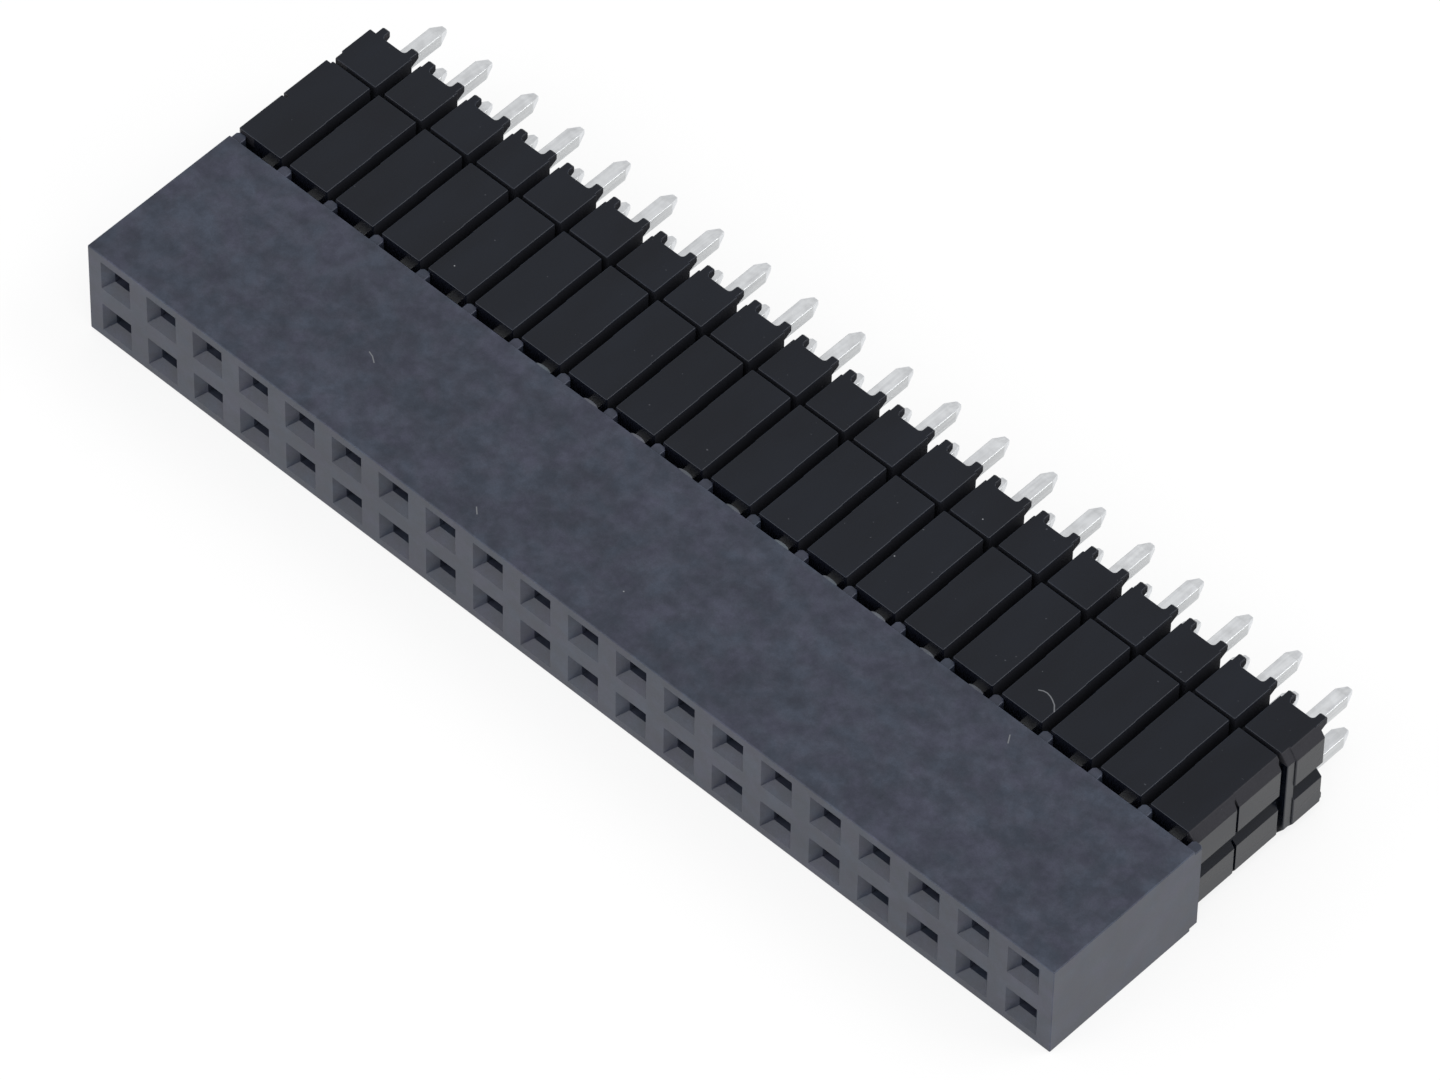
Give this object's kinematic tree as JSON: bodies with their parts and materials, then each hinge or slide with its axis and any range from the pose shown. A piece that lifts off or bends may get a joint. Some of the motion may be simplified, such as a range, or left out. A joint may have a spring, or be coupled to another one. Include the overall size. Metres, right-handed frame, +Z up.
{
  "type": "female pin header strip",
  "caption": "Elevated two-row female header strip: a socket housing, three grooved spacers and long square solder tails, lying on its side.",
  "frame": {"origin": "centre of the bounding box's bottom face, on the surface that the strip lies on", "axes": "+X along the strip; +Y from the socket face towards the solder tails; +Z up, from the lower row to the upper row"},
  "size_m": [0.0514, 0.0186, 0.0051],
  "materials": {
    "housing": "satin dark blue-grey glass-filled plastic, finely mottled",
    "spacer": "satin black moulded plastic",
    "contact": "bright tin plating over a copper alloy"
  },
  "bodies": {
    "root": {"socket_housing": "housing", "spacer_front": "spacer", "spacer_middle": "spacer", "spacer_rear": "spacer", "contact_lower_01": "contact", "contact_lower_02": "contact", "contact_lower_03": "contact", "contact_lower_04": "contact", "contact_lower_05": "contact", "contact_lower_06": "contact", "contact_lower_07": "contact", "contact_lower_08": "contact", "contact_lower_09": "contact", "contact_lower_10": "contact", "contact_lower_11": "contact", "contact_lower_12": "contact", "contact_lower_13": "contact", "contact_lower_14": "contact", "contact_lower_15": "contact", "contact_lower_16": "contact", "contact_lower_17": "contact", "contact_lower_18": "contact", "contact_lower_19": "contact", "contact_lower_20": "contact", "contact_upper_01": "contact", "contact_upper_02": "contact", "contact_upper_03": "contact", "contact_upper_04": "contact", "contact_upper_05": "contact", "contact_upper_06": "contact", "contact_upper_07": "contact", "contact_upper_08": "contact", "contact_upper_09": "contact", "contact_upper_10": "contact", "contact_upper_11": "contact", "contact_upper_12": "contact", "contact_upper_13": "contact", "contact_upper_14": "contact", "contact_upper_15": "contact", "contact_upper_16": "contact", "contact_upper_17": "contact", "contact_upper_18": "contact", "contact_upper_19": "contact", "contact_upper_20": "contact"}
  },
  "joints": []
}
